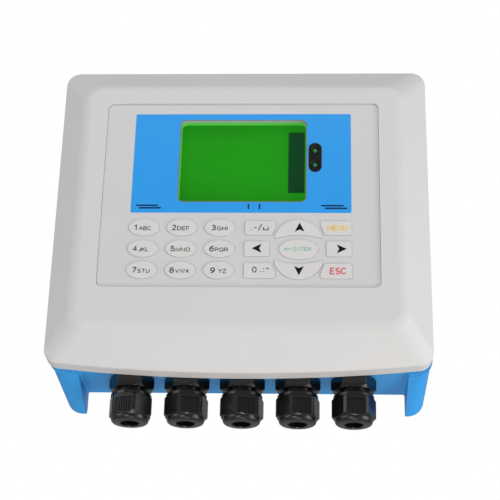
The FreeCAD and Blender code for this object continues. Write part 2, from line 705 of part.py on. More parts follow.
def base_nodes():
    """Everything fixed to the base."""
    y = TERMINAL_BOARD_Y
    nodes = {}
    nodes["base_shell"] = base_shell()
    nodes["cover_gasket"] = gasket()
    nodes["cover_screws"] = [screw(x, -6.0, -45.5, z, SCREW_R, 3.3, 2.4, 1) for x, z in TUBES]
    nodes["terminal_board"] = board(-74, 74, -54, 38, y, STANDOFFS, 1.6)
    nodes["board_screws"] = [screw(x, y, y + 8.0, z, 1.2, 2.7, 1.8, -1) for x, z in STANDOFFS]
    nodes["terminal_blocks"] = [terminal_block(x, n, p, TERMINAL_Z) for x, n, p in TERMINALS]
    nodes["terminal_screws"] = terminal_screws()
    core = box(-60, -24, y - 14, y - 4, -4, 26).cut(box(-53, -31, y - 20, y, 2.5, 19.5))
    limb = box(-45.5, -38.5, y - 14, y - 4, 2.5, 19.5)
    winding = box(-52.6, -31.4, y - 17.5, y, 2.9, 19.1)
    nodes["transformer_core"] = core.fuse(limb).removeSplitter()
    nodes["transformer_winding"] = winding.cut(box(-45.7, -38.3, y - 14.2, y - 3.8, -5, 30))
    nodes["relay"] = plate(y - 15.5, y, 19.0, 15.4, 1.0, 52.0, 16.0)
    cans = []
    for x, z, r, tall in ((2.0, 22.0, 5.0, 12.0), (16.0, 22.0, 5.0, 12.0), (30.0, 20.0, 4.0, 11.0)):
        can = rod(r, y - tall, y, x, z)
        ring = rod(r + 1, y - 2.6, y - 2.0, x, z).cut(rod(r - 0.4, y - 3, y - 1, x, z))
        cans.append(can.cut(ring))
    nodes["capacitors"] = cans
    nodes["fuse_clips"] = [
        box(x - 2, x + 2, y - 5.6, y, -14.0, -7.0).cut(
            Part.makeCylinder(2.6, 40, V(-70, y - 5.4, -10.5), X_AXIS))
        for x in (-58.0, -42.0)
    ]
    nodes["fuse"] = Part.makeCylinder(2.55, 20.0, V(-60, y - 5.4, -10.5), X_AXIS)
    insulator = box(-14.1, 11.5, y - 15.4, y, -23.4, -18.1)
    pins = [box(x - 0.3, x + 0.3, y - 21.4, y - 15.4, z - 0.3, z + 0.3) for x, z in header_pins()]
    nodes["board_header"] = insulator.multiFuse(pins)
    nodes["gland_bodies"] = [gland_body(x) for x in gland_xs()]
    nodes["gland_washers"] = [
        tube_z(9.3, THREAD_R + 0.05, HEX_TOP, BAY_CEILING, x, GLAND_Y) for x in gland_xs()
    ]
    lock = []
    for x in gland_xs():
        nut = hexagon(18.0, PAD_TOP, PAD_TOP + 4.5, x, GLAND_Y, 0)
        lock.append(nut.cut(post(THREAD_R + 0.05, PAD_TOP - 1, PAD_TOP + 6, x, GLAND_Y)))
    nodes["gland_locknuts"] = lock
    return nodes


def cover_nodes():
    """Everything fixed to the cover."""
    nodes = {}
    nodes["front_cover"] = cover()
    nodes["keypad_overlay"] = overlay()
    nodes["switch_film"] = switch_film()
    nodes["display_window"] = window_plate(1.3, OVERLAY_BACK_Y, RECESS_FLOOR_Y)
    port = ir_plate(0.0, OVERLAY_FRONT_Y - 0.35, RECESS_FLOOR_Y)
    port = round_front_edges(port, OVERLAY_FRONT_Y - 0.35, 0.3)
    leds = []
    for z in LED_Z:
        port = port.cut(rod(LED_R + 0.1, -60, -50, IR_X, z))
        port = port.cut(Part.makeCone(LED_R + 0.1, LED_R + 0.6, 0.5, V(IR_X, -55.05, z),
                                      V(0, -1, 0)))
        lens = rod(LED_R, -54.0, -49.0, IR_X, z).fuse(Part.makeSphere(LED_R, V(IR_X, -54.0, z)))
        legs = [rod(0.25, -48.0, MAIN_BOARD_Y, IR_X, z + s) for s in (-1.0, 1.0)]
        rim = rod(1.9, -49.4, -48.0, IR_X, z)
        leds.append(lens.multiFuse([rim] + legs).removeSplitter())
    nodes["ir_port_bezel"] = port
    nodes["ir_leds"] = leds
    frame = plate(-51.2, -46.4, 66.0, 50.0, 1.0, WINDOW_X, WINDOW_Z)
    opening = window_plate(0.6, -52.0, -40.0)
    tray = plate(-50.8, -46.0, 65.2, 49.2, 0.8, WINDOW_X, WINDOW_Z)
    nodes["lcd_frame"] = frame.cut(opening.fuse(tray))
    nodes["lcd_glass"] = plate(-50.8, -46.4, 65.0, 49.0, 0.6, WINDOW_X, WINDOW_Z)
    corners = [(WINDOW_X + sx * 31.5, WINDOW_Z + sz * 22.5) for sx in (-1, 1) for sz in (-1, 1)]
    nodes["lcd_board"] = board(
        WINDOW_X - 35, WINDOW_X + 35, WINDOW_Z - 26.5, WINDOW_Z + 26.5, -46.4, [], 1.0
    )
    posts = [rod(2.2, -46.4 + BOARD_T, MAIN_BOARD_Y, x, z) for x, z in corners]
    nodes["main_board"] = board(-62, 62, -37, 52, MAIN_BOARD_Y, BOSSES, 1.6)
    back = MAIN_BOARD_Y + BOARD_T
    screws = [screw(x, back, MAIN_BOARD_Y - 6.0, z, 1.2, 2.6, 1.8, 1) for x, z in BOSSES]
    nodes["board_posts_and_screws"] = posts + screws
    chips = [plate(back, back + 1.6, 14.0, 14.0, 0.4, -18.0, 20.0)]
    chips.append(plate(back, back + 1.6, 9.0, 6.0, 0.4, 12.0, 24.0))
    chips.append(plate(back, back + 1.6, 6.0, 9.0, 0.4, 28.0, 6.0))
    nodes["processor_chips"] = chips
    nodes["coin_cell"] = rod(10.0, back, back + 3.2, 40.0, 30.0)
    socket = box(-14.1, 11.5, back, back + 8.6, -23.4, -18.1)
    for x, z in header_pins():
        socket = socket.cut(box(x - 0.4, x + 0.4, back + 1.0, back + 9, z - 0.4, z + 0.4))
    nodes["socket_header"] = socket
    # The flat tail of the keypad passes a slot below the display and ends at the main board.
    nodes["keypad_tail"] = box(-9.0, 9.0, RECESS_BACK_Y + 0.2, MAIN_BOARD_Y, -4.0, -3.7)
    return nodes


os.makedirs("parts", exist_ok=True)
for node, made in base_nodes().items():
    write(node, made)
for node, made in cover_nodes().items():
    write(node, made)
for node, made in keys().items():
    write(node, made)
for number, centre_x in enumerate(gland_xs(), 1):
    write("gland_seal_%d" % number, gland_seal(centre_x))
    write("gland_nut_%d" % number, gland_nut(centre_x, NUT_TURNS[number - 1]))
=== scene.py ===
import math

import bmesh
import bpy
from mathutils import Matrix, Vector


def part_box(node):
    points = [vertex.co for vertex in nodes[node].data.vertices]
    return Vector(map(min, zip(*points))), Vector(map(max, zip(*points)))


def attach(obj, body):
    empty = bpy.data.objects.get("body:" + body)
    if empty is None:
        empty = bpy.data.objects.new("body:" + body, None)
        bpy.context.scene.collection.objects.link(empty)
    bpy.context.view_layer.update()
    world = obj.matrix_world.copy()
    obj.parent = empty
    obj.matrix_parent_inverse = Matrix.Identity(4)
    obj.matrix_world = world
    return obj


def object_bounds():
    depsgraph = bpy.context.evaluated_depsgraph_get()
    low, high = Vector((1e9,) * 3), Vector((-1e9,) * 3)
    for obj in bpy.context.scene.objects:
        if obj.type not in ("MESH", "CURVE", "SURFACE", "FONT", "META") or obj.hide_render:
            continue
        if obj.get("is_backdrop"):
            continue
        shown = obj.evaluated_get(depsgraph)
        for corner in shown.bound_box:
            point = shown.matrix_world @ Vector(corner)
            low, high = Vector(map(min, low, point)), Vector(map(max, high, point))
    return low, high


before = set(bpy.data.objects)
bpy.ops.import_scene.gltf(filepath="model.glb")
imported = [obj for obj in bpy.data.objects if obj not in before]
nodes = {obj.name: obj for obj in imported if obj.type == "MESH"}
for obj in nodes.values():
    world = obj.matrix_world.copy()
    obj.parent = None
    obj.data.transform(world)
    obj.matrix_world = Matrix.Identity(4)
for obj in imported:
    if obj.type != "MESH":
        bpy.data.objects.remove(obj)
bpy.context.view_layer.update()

# Lengths are in millimetres unless a name or a comment says otherwise; Blender's own unit is the metre.
MM = 0.001


# ---------------------------------------------------------------- materials
def new_material(name):
    """An empty node material and its shader."""
    material = bpy.data.materials.new(name)
    material.use_nodes = True
    tree = material.node_tree
    tree.nodes.clear()
    output = tree.nodes.new("ShaderNodeOutputMaterial")
    shader = tree.nodes.new("ShaderNodeBsdfPrincipled")
    tree.links.new(shader.outputs["BSDF"], output.inputs["Surface"])
    return material, tree, shader


def noise(tree, coordinates, scale, detail=3.0, roughness=0.55):
    """A noise texture in object space; scale is features per metre."""
    node = tree.nodes.new("ShaderNodeTexNoise")
    node.inputs["Scale"].default_value = scale
    node.inputs["Detail"].default_value = detail
    node.inputs["Roughness"].default_value = roughness
    tree.links.new(coordinates.outputs["Object"], node.inputs["Vector"])
    return node


# The part of a noise factor's range over which the colour changes.
RAMP_START = 0.3
RAMP_END = 0.7


def ramp(tree, source, low, high):
    """A two-colour ramp fed by a factor."""
    node = tree.nodes.new("ShaderNodeValToRGB")
    first, last = node.color_ramp.elements
    first.position = RAMP_START
    last.position = RAMP_END
    first.color = (*low, 1)
    last.color = (*high, 1)
    tree.links.new(source, node.inputs["Fac"])
    return node


def spread(tree, source, low, high):
    """A factor remapped to the range low to high."""
    node = tree.nodes.new("ShaderNodeMapRange")
    node.inputs["To Min"].default_value = low
    node.inputs["To Max"].default_value = high
    tree.links.new(source, node.inputs["Value"])
    return node


def shade(colour, factor):
    """A colour made lighter or darker."""
    return tuple(min(1.0, c * factor) for c in colour)


# How far the fine grain moves the roughness up and down, and the least roughness.
ROUGH_SPREAD = 0.06
SMOOTHEST = 0.02


def surface(
    name, colour, rough, vary, patch, grain, bump, depth,
    metallic=0.0, specular=0.5, coat=0.0, alpha=1.0, glow=0.0,
):
    """A moulded, painted or metal surface: slow colour patches, fine grain and grain bump.

    vary is how far the patches stray from the colour, patch and grain are features per metre,
    bump is the strength of the grain's relief and depth its height in millimetres.
    """
    material, tree, shader = new_material(name)
    coordinates = tree.nodes.new("ShaderNodeTexCoord")
    slow = noise(tree, coordinates, patch)
    fine = noise(tree, coordinates, grain, 4.0, 0.6)
    tint = ramp(tree, slow.outputs["Fac"], shade(colour, 1 - vary), shade(colour, 1 + vary))
    tree.links.new(tint.outputs["Color"], shader.inputs["Base Color"])
    smoothest = max(SMOOTHEST, rough - ROUGH_SPREAD)
    polish = spread(tree, fine.outputs["Fac"], smoothest, rough + ROUGH_SPREAD)
    tree.links.new(polish.outputs["Result"], shader.inputs["Roughness"])
    relief = tree.nodes.new("ShaderNodeBump")
    relief.inputs["Strength"].default_value = bump
    relief.inputs["Distance"].default_value = depth * MM
    tree.links.new(fine.outputs["Fac"], relief.inputs["Height"])
    tree.links.new(relief.outputs["Normal"], shader.inputs["Normal"])
    shader.inputs["Metallic"].default_value = metallic
    shader.inputs["Specular IOR Level"].default_value = specular
    shader.inputs["Coat Weight"].default_value = coat
    shader.inputs["Alpha"].default_value = alpha
    if glow:
        tree.links.new(tint.outputs["Color"], shader.inputs["Emission Color"])
        shader.inputs["Emission Strength"].default_value = glow
    return material


COVER_GREY = (0.680, 0.683, 0.695)
PANEL_GREY = (0.655, 0.655, 0.672)
KEY_WHITE = (0.700, 0.695, 0.690)
LABEL_BLUE = (0.006, 0.335, 0.880)
BASE_BLUE = (0.030, 0.340, 0.830)

MATERIALS = {
    "cover": surface("cover_grey", COVER_GREY, 0.50, 0.012, 25.0, 3000.0, 0.10, 0.05),
    "base": surface("base_blue", BASE_BLUE, 0.42, 0.03, 40.0, 2600.0, 0.12, 0.05),
    "overlay": surface("overlay_grey", PANEL_GREY, 0.46, 0.012, 30.0, 4200.0, 0.10, 0.03),
    "label": surface("label_blue", LABEL_BLUE, 0.42, 0.02, 35.0, 4200.0, 0.10, 0.03),
    "key": surface("key_white", KEY_WHITE, 0.44, 0.015, 120.0, 4200.0, 0.08, 0.03),
    "ink": surface("ink_dark", (0.005, 0.005, 0.005), 0.5, 0.1, 300.0, 4200.0, 0.05, 0.02,
                   specular=0.15),
    "ink_grey": surface("ink_grey", (0.035, 0.035, 0.038), 0.5, 0.1, 300.0, 4200.0, 0.05, 0.02,
                        specular=0.15),
    "ink_red": surface("ink_red", (0.72, 0.150, 0.190), 0.5, 0.1, 300.0, 4200.0, 0.05, 0.02),
    "ink_yellow": surface("ink_yellow", (0.78, 0.60, 0.20), 0.5, 0.1, 300.0, 4200.0, 0.05, 0.02),
    "ink_green": surface("ink_green", (0.26, 0.52, 0.40), 0.5, 0.1, 300.0, 4200.0, 0.05, 0.02),
    "ink_blue": surface("ink_blue", (0.003, 0.026, 0.110), 0.5, 0.1, 300.0, 4200.0, 0.05, 0.02,
                        specular=0.15),
    "frame_line": surface("frame_line", (0.17, 0.18, 0.19), 0.35, 0.05, 200.0, 4000.0, 0.05, 0.02),
    "gland": surface("gland_nylon", (0.004, 0.004, 0.004), 0.27, 0.12, 150.0, 1800.0, 0.08, 0.05,
                     specular=0.45, coat=0.3),
    "bezel": surface("bezel_black", (0.004, 0.004, 0.005), 0.30, 0.1, 200.0, 3000.0, 0.05, 0.03,
                     specular=0.2),
    "led": surface("led_lens", (0.012, 0.170, 0.030), 0.20, 0.1, 300.0, 900.0, 0.02, 0.02, coat=0.3),
    "rubber": surface("rubber_black", (0.016, 0.016, 0.016), 0.72, 0.1, 200.0, 1500.0, 0.3, 0.1),
    "steel": surface("zinc_steel", (0.56, 0.56, 0.57), 0.30, 0.06, 300.0, 2500.0, 0.15, 0.04,
                     metallic=1.0),
    "core": surface("core_steel", (0.25, 0.25, 0.27), 0.45, 0.1, 200.0, 2500.0, 0.3, 0.08,
                    metallic=1.0),
    "brass": surface("brass", (0.75, 0.56, 0.25), 0.25, 0.06, 300.0, 2500.0, 0.1, 0.04,
                     metallic=1.0),
    "board": surface("board_green", (0.010, 0.110, 0.035), 0.35, 0.12, 220.0, 1500.0, 0.2, 0.05),
    "terminal": surface("terminal_green", (0.020, 0.210, 0.060), 0.45, 0.06, 200.0, 2500.0, 0.1,
                        0.04),
    "black": surface("connector_black", (0.018, 0.018, 0.018), 0.45, 0.1, 200.0, 2500.0, 0.1, 0.04),
    "winding": surface("winding_tape", (0.60, 0.42, 0.06), 0.40, 0.08, 260.0, 2000.0, 0.2, 0.06),
    "relay": surface("relay_blue", (0.020, 0.060, 0.260), 0.35, 0.06, 200.0, 2500.0, 0.1, 0.04),
    "can": surface("can_sleeve", (0.030, 0.035, 0.110), 0.30, 0.06, 200.0, 2500.0, 0.1, 0.04),
    "film": surface("contact_film", (0.52, 0.44, 0.24), 0.35, 0.06, 200.0, 2500.0, 0.1, 0.04),
    "glass": surface("fuse_glass", (0.80, 0.84, 0.85), 0.06, 0.02, 200.0, 900.0, 0.01, 0.01,
                     alpha=0.35),
    "window": surface("window_clear", (0.10, 0.30, 0.10), 0.08, 0.02, 80.0, 500.0, 0.0, 0.01,
                      specular=0.15, alpha=0.03),
    "lcd": surface("lcd_green", (0.013, 0.290, 0.006), 0.60, 0.05, 45.0, 900.0, 0.0, 0.02,
                   specular=0.0, glow=0.18),
    "lcd_dark": surface("lcd_dark", (0.004, 0.055, 0.018), 0.60, 0.08, 120.0, 900.0, 0.0, 0.02,
                        specular=0.0, glow=0.05),
    # A painted highlight: the glowing light green of the rim round the display window.
    "painted_highlight_rim": surface("painted_highlight_rim", (0.100, 0.560, 0.080), 0.50, 0.05, 80.0, 900.0, 0.0, 0.02,
                        specular=0.1, glow=0.25),
}

NODE_MATERIAL = {
    "base_shell": "base", "cover_gasket": "rubber", "cover_screws": "steel",
    "terminal_board": "board", "board_screws": "steel", "terminal_blocks": "terminal",
    "terminal_screws": "steel", "transformer_core": "core", "transformer_winding": "winding",
    "relay": "relay", "capacitors": "can", "fuse_clips": "brass", "fuse": "glass",
    "board_header": "black", "gland_bodies": "gland", "gland_washers": "rubber",
    "gland_locknuts": "gland", "front_cover": "cover", "keypad_overlay": "overlay",
    "switch_film": "film", "display_window": "window", "ir_port_bezel": "bezel",
    "ir_leds": "led", "lcd_frame": "steel", "lcd_glass": "lcd", "lcd_board": "board",
    "board_posts_and_screws": "brass", "main_board": "board", "processor_chips": "black",
    "coin_cell": "steel", "socket_header": "black", "keypad_tail": "film",
}


def material_for(node):
    """The material of a CAD node by its name."""
    if node in NODE_MATERIAL:
        return MATERIALS[NODE_MATERIAL[node]]
    if node.startswith("key_"):
        return MATERIALS["key"]
    if node.startswith("gland_seal"):
        return MATERIALS["rubber"]
    return MATERIALS["gland"]


for node, made in nodes.items():
    material = material_for(node)
    if not made.material_slots:
        made.data.materials.append(material)
    for place in made.material_slots:
        place.material = material


# ---------------------------------------------------------------- printed and flat pieces
def finish_piece(name, mesh, material, body):
    """Links a mesh as a piece that rides with a body."""
    made = bpy.data.objects.new(name, mesh)
    bpy.context.scene.collection.objects.link(made)
    mesh.materials.clear()
    mesh.materials.append(material)
    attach(made, body)


def curve_mesh(curve):
    """The mesh of a curve, in its own flat coordinates."""
    holder = bpy.data.objects.new("curve_holder", curve)
    bpy.context.scene.collection.objects.link(holder)
    bpy.context.view_layer.update()
    ready = holder.evaluated_get(bpy.context.evaluated_depsgraph_get())
    mesh = bpy.data.meshes.new_from_object(ready)
    bpy.data.objects.remove(holder)
    return mesh


# Flat shapes are drawn in X and Y, then stood up so that they face the viewer.
STAND_UP = Matrix(((1, 0, 0, 0), (0, 0, -1, 0), (0, 1, 0, 0), (0, 0, 0, 1)))
# Thickness of a layer of ink.
INK = 0.02


def flat(name, loops, y, thick, material, body):
    """A flat shape in front of a surface at y, from closed loops of (x, z); inner loops are holes."""
    curve = bpy.data.curves.new(name, "CURVE")
    curve.dimensions = "2D"
    curve.fill_mode = "BOTH"
    curve.extrude = thick / 2 * MM
    for loop in loops:
        spline = curve.splines.new("POLY")
        spline.points.add(len(loop) - 1)
        for point, (x, z) in zip(spline.points, loop):
            point.co = (x * MM, z * MM, 0, 1)
        spline.use_cyclic_u = True
    mesh = curve_mesh(curve)
    mesh.transform(Matrix.Translation((0, (y - thick / 2) * MM, 0)) @ STAND_UP)
    finish_piece(name, mesh, material, body)


def arc(x, z, rx, rz, start, end, steps=8):
    """Points along an elliptical arc; the angles are in degrees, anticlockwise from the right."""
    turn = [math.radians(start + (end - start) * i / steps) for i in range(steps + 1)]
    return [(x + rx * math.cos(a), z + rz * math.sin(a)) for a in turn]


def ring(x, z, rx, rz):
    """A closed ellipse; a stroke whose last point repeats its first is closed."""
    return arc(x, z, rx, rz, 90, 450, 20)


# Plain lettering: the width of each sign and its strokes, where capitals are 1 high.
SIGNS = {
    "0": (0.56, [ring(0.28, 0.5, 0.28, 0.5)]),
    "1": (0.30, [[(0.0, 0.76), (0.26, 1.0), (0.26, 0.0)]]),
    "2": (0.56, [arc(0.27, 0.72, 0.27, 0.28, 165, -35) + [(0.0, 0.0), (0.56, 0.0)]]),
    "3": (0.54, [arc(0.26, 0.75, 0.24, 0.25, 160, -85) + arc(0.26, 0.26, 0.28, 0.26, 85, -160)]),
    "4": (0.60, [[(0.44, 0.0), (0.44, 1.0), (0.0, 0.30), (0.60, 0.30)]]),
    "5": (0.54, [[(0.50, 1.0), (0.11, 1.0), (0.04, 0.50)]
                 + arc(0.26, 0.32, 0.28, 0.32, 125, -155, 10)]),
    "6": (0.54, [ring(0.28, 0.32, 0.26, 0.32), arc(0.48, 0.36, 0.46, 0.64, 80, 180)]),
    "7": (0.54, [[(0.0, 1.0), (0.54, 1.0), (0.18, 0.0)]]),
    "8": (0.54, [ring(0.27, 0.76, 0.22, 0.24), ring(0.27, 0.26, 0.27, 0.26)]),
    "9": (0.54, [ring(0.26, 0.68, 0.26, 0.32), arc(0.06, 0.64, 0.46, 0.64, -100, 0)]),
    "A": (0.68, [[(0, 0), (0.34, 1), (0.68, 0)], [(0.13, 0.36), (0.55, 0.36)]]),
    "B": (0.60, [[(0, 0.52), (0, 1), (0.32, 1)] + arc(0.33, 0.76, 0.22, 0.24, 80, -80)
                 + [(0.32, 0.52)],
                 [(0, 0.52), (0.34, 0.52)] + arc(0.34, 0.26, 0.26, 0.26, 80, -80)
                 + [(0.34, 0), (0, 0), (0, 0.52)]]),
    "C": (0.66, [arc(0.36, 0.5, 0.36, 0.5, 38, 322, 16)]),
    "D": (0.66, [[(0, 0.5), (0, 1), (0.28, 1)] + arc(0.28, 0.5, 0.38, 0.5, 80, -80, 10)
                 + [(0.28, 0), (0, 0), (0, 0.5)]]),
    "E": (0.56, [[(0.56, 1), (0, 1), (0, 0), (0.56, 0)], [(0.06, 0.52), (0.50, 0.52)]]),
    "F": (0.52, [[(0.52, 1), (0, 1), (0, 0)], [(0.06, 0.50), (0.46, 0.50)]]),
    "G": (0.72, [arc(0.36, 0.5, 0.36, 0.5, 42, 342, 16) + [(0.70, 0.46), (0.42, 0.46)]]),
    "H": (0.60, [[(0, 0), (0, 1)], [(0.60, 0), (0.60, 1)], [(0.06, 0.52), (0.54, 0.52)]]),
    "I": (0.06, [[(0.03, 0), (0.03, 1)]]),
    "J": (0.42, [[(0.42, 1)] + arc(0.21, 0.27, 0.21, 0.27, 0, -180)]),
    "K": (0.60, [[(0, 0), (0, 1)], [(0.56, 1), (0.04, 0.40)], [(0.24, 0.60), (0.60, 0)]]),
    "L": (0.48, [[(0, 1), (0, 0), (0.48, 0)]]),
    "M": (0.76, [[(0, 0), (0, 1), (0.38, 0.06), (0.76, 1), (0.76, 0)]]),
    "N": (0.62, [[(0, 0), (0, 1), (0.62, 0), (0.62, 1)]]),
    "O": (0.76, [ring(0.38, 0.5, 0.38, 0.5)]),
    "P": (0.58, [[(0, 0), (0, 1), (0.34, 1)] + arc(0.34, 0.73, 0.24, 0.27, 80, -80)
                 + [(0.34, 0.46), (0.06, 0.46)]]),
    "Q": (0.76, [ring(0.38, 0.5, 0.38, 0.5), [(0.48, 0.26), (0.74, -0.02)]]),
    "R": (0.62, [[(0, 0), (0, 1), (0.34, 1)] + arc(0.34, 0.73, 0.24, 0.27, 80, -80)
                 + [(0.34, 0.46), (0.06, 0.46)], [(0.36, 0.40), (0.62, 0)]]),
    "S": (0.56, [arc(0.28, 0.74, 0.25, 0.26, 25, 260, 9) + arc(0.28, 0.25, 0.28, 0.25, 80, -155, 9)]),
    "T": (0.60, [[(0, 1), (0.60, 1)], [(0.30, 0.94), (0.30, 0)]]),
    "U": (0.60, [[(0, 1)] + arc(0.30, 0.32, 0.30, 0.32, 180, 360, 10) + [(0.60, 1)]]),
    "V": (0.66, [[(0, 1), (0.33, 0), (0.66, 1)]]),
    "W": (0.92, [[(0, 1), (0.24, 0), (0.46, 1), (0.68, 0), (0.92, 1)]]),
    "X": (0.60, [[(0, 0), (0.60, 1)], [(0, 1), (0.60, 0)]]),
    "Y": (0.62, [[(0, 1), (0.31, 0.45), (0.62, 1)], [(0.31, 0.40), (0.31, 0)]]),
    "Z": (0.58, [[(0, 1), (0.56, 1), (0, 0), (0.58, 0)]]),
}
# Space between signs, where capitals are 1 high.
SIGN_GAP = 0.24
# How far the corner of a stroke may stand out, as a multiple of half its width.
SHARPEST = 1.8
# Two points this close are the same point, and this is the least lean a corner is worked out for.
SAME_POINT = 1e-6
LEAST_LEAN = 0.1


def stroke(mesh, points, width, y, thick):
    """Adds one stroke of even width to a bmesh: points are (x, z) in millimetres, its front is at y."""
    closed = math.dist(points[0], points[-1]) < SAME_POINT
    line = [Vector(p) for p in (points[:-1] if closed else points)]
    count = len(line)
    sides = []
    for i, here in enumerate(line):
        before = line[i - 1] if i or closed else None
        after = line[(i + 1) % count] if i < count - 1 or closed else None
        ways = [d.normalized() for d in
                ([here - before] if before is not None else [])
                + ([after - here] if after is not None else [])]
        way = sum(ways, Vector((0, 0))).normalized()
        across = Vector((-way.y, way.x))
        lean = abs(across.dot(Vector((-ways[0].y, ways[0].x))))
        half = width / 2 * min(SHARPEST, 1 / max(lean, LEAST_LEAN))
        sides.append((here + across * half, here - across * half))
    rings = []
    for left, right in sides:
        rings.append([
            mesh.verts.new((p.x * MM, depth * MM, p.y * MM))
            for p, depth in ((left, y), (right, y), (right, y + thick), (left, y + thick))
        ])
    pairs = list(zip(rings, rings[1:])) + ([(rings[-1], rings[0])] if closed else [])
    for first, second in pairs:
        for k in range(4):
            n = (k + 1) % 4
            mesh.faces.new((first[k], first[n], second[n], second[k]))
    if not closed:
        mesh.faces.new(rings[0][::-1])
        mesh.faces.new(rings[-1])


def strokes(name, lines, width, y, material, body):
    """Strokes printed on a surface at y, as one piece."""
    made = bmesh.new()
    for line in lines:
        stroke(made, line, width, y - INK, INK)
    bmesh.ops.recalc_face_normals(made, faces=made.faces)
    mesh = bpy.data.meshes.new(name)
    made.to_mesh(mesh)
    made.free()
    finish_piece(name, mesh, material, body)


def text(name, words, left, bottom, width, height, weight, y, material, body):
    """Words printed on a surface at y: lower left corner, width, height and stroke in millimetres."""
    natural = sum(SIGNS[sign][0] for sign in words) + SIGN_GAP * (len(words) - 1)
    scale_x = (width - weight) / natural
    scale_z = height - weight
    at = 0.0
    lines = []
    for sign in words:
        sign_width, sign_strokes = SIGNS[sign]
        for points in sign_strokes:
            lines.append([
                (left + weight / 2 + (at + px) * scale_x, bottom + weight / 2 + pz * scale_z)
                for px, pz in points
            ])
        at += sign_width + SIGN_GAP
    strokes(name, lines, weight, y, material, body)


def rounded(left, right, low, high, r, steps=6):
    """A rounded rectangle as a loop."""
    loop = []
    corners = ((right - r, high - r, 0), (left + r, high - r, 90), (left + r, low + r, 180),
               (right - r, low + r, 270))
    for x, z, start in corners:
        for i in range(steps + 1):
            a = math.radians(start + 90 * i / steps)
            loop.append((x + r * math.cos(a), z + r * math.sin(a)))
    return loop


def box_mm(node):
    """(left, right, front, back, low, high) of a CAD node in millimetres."""
    low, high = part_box(node)
    return (low.x / MM, high.x / MM, low.y / MM, high.y / MM, low.z / MM, high.z / MM)


# ---------------------------------------------------------------- label and display
WINDOW_LEFT, WINDOW_RIGHT, WINDOW_LOW, WINDOW_HIGH = -30.3, 31.7, 5.6, 50.3
WINDOW_CORNER_R = 2.5
OVERLAY_FRONT = box_mm("keypad_overlay")[2]
# Thickness of the printed label field and of the raised line round the window.
PRINT = 0.04
RAISED_PRINT = 0.06
LABEL_TOP, LABEL_BOTTOM, LABEL_LEFT, LABEL_RIGHT = 54.1, -0.6, -53.2, 53.8
LABEL_CORNER_R = 0.6

port = box_mm("ir_port_bezel")


def around_window(grow):
    """The outline of the window, grown evenly on all sides."""
    return rounded(WINDOW_LEFT - grow, WINDOW_RIGHT + grow, WINDOW_LOW - grow, WINDOW_HIGH + grow,
                   WINDOW_CORNER_R + grow)


# Width of the line round the window, and the label's gap round the infrared port.
FRAME_LINE = 0.5
PORT_GAP = 0.1
PORT_CORNER_R = 3.25
window_hole = around_window(FRAME_LINE)
port_hole = rounded(port[0] - PORT_GAP, port[1] + PORT_GAP, port[4] - PORT_GAP, port[5] + PORT_GAP,
                    PORT_CORNER_R)
label_edge = rounded(LABEL_LEFT, LABEL_RIGHT, LABEL_BOTTOM, LABEL_TOP, LABEL_CORNER_R)
flat("label_field", [label_edge, window_hole, port_hole],
     OVERLAY_FRONT, PRINT, MATERIALS["label"], "cover")
flat("window_frame_line",
     [around_window(FRAME_LINE), around_window(0)],
     OVERLAY_FRONT, RAISED_PRINT, MATERIALS["frame_line"], "cover")

LABEL_SURFACE = OVERLAY_FRONT - PRINT
BAR_CORNER_R = 0.12
BAR_CORNER_STEPS = 3


def bar(name, left, right, low, high):
    """A printed line on the label."""
    outline = rounded(left, right, low, high, BAR_CORNER_R, BAR_CORNER_STEPS)
    flat(name, [outline], LABEL_SURFACE, INK, MATERIALS["ink_blue"], "cover")


bar("label_line_left_upper", -50.6, -40.0, 2.9, 3.75)
bar("label_line_left_lower", -49.1, -38.5, 1.55, 2.4)
bar("label_line_right_upper", 39.2, 50.0, 2.85, 3.7)
bar("label_line_right_lower", 40.9, 51.7, 1.45, 2.3)
bar("label_tick_left", 3.65, 4.4, 1.3, 4.2)
bar("label_tick_right", 9.0, 9.75, 1.3, 4.2)

# Display: the dark column at its right end, and a rim between the glass and the window that glows light
# green, a painted highlight of the opening's lit inner edge.
LCD_FRONT = box_mm("lcd_glass")[2]
WINDOW_BACK = box_mm("display_window")[3]
# The rim stands clear of the glass and the window by this much, and is twice RIM_HALF_WIDE wide.
RIM_CLEAR = 0.1
RIM_HALF_WIDE = 0.15
RIM_BACK = LCD_FRONT - RIM_CLEAR
flat("display_painted_highlight_rim", [around_window(RIM_HALF_WIDE), around_window(-RIM_HALF_WIDE)], RIM_BACK,
     RIM_BACK - (WINDOW_BACK + RIM_CLEAR), MATERIALS["painted_highlight_rim"], "cover")
COLUMN_LEFT, COLUMN_RIGHT, COLUMN_LOW, COLUMN_HIGH = 23.0, 31.0, 12.4, 46.0
COLUMN_CORNER_R = 0.3
COLUMN_THICK = 0.15
column_edge = rounded(COLUMN_LEFT, COLUMN_RIGHT, COLUMN_LOW, COLUMN_HIGH, COLUMN_CORNER_R)
flat("display_dark_column", [column_edge], LCD_FRONT, COLUMN_THICK, MATERIALS["lcd_dark"], "cover")

# ---------------------------------------------------------------- key legends
KEY_FRONT = box_mm("key_1")[2]
# Letters on each oval key; then where the digit and the letters start and end from its middle.
OVALS = {
    1: ("ABC", -4.9, -3.3, -2.4, 3.5), 2: ("DEF", -4.8, -2.7, -2.3, 3.7),
    3: ("GHI", -4.1, -1.9, -1.4, 3.8), 4: ("JKL", -4.8, -2.6, -2.1, 2.8),
    5: ("MNO", -5.1, -2.9, -2.5, 4.4), 6: ("PQR", -4.8, -2.5, -2.1, 4.3),
    7: ("STU", -4.6, -2.4, -2.0, 3.9), 8: ("VWX", -5.1, -2.8, -2.3, 4.4),
    9: ("YZ", -3.9, -1.6, -0.1, 3.7),
}
# Heights of the legends, and the widths of their strokes.
DIGIT_HIGH = 3.0
DIGIT_WEIGHT = 0.50
ZERO_WEIGHT = 0.46
LETTER_HIGH = 2.15
LETTER_WEIGHT = 0.36
SYMBOL_WEIGHT = 0.45
WORD_WEIGHT = 0.75
SMALL_WORD_WEIGHT = 0.38
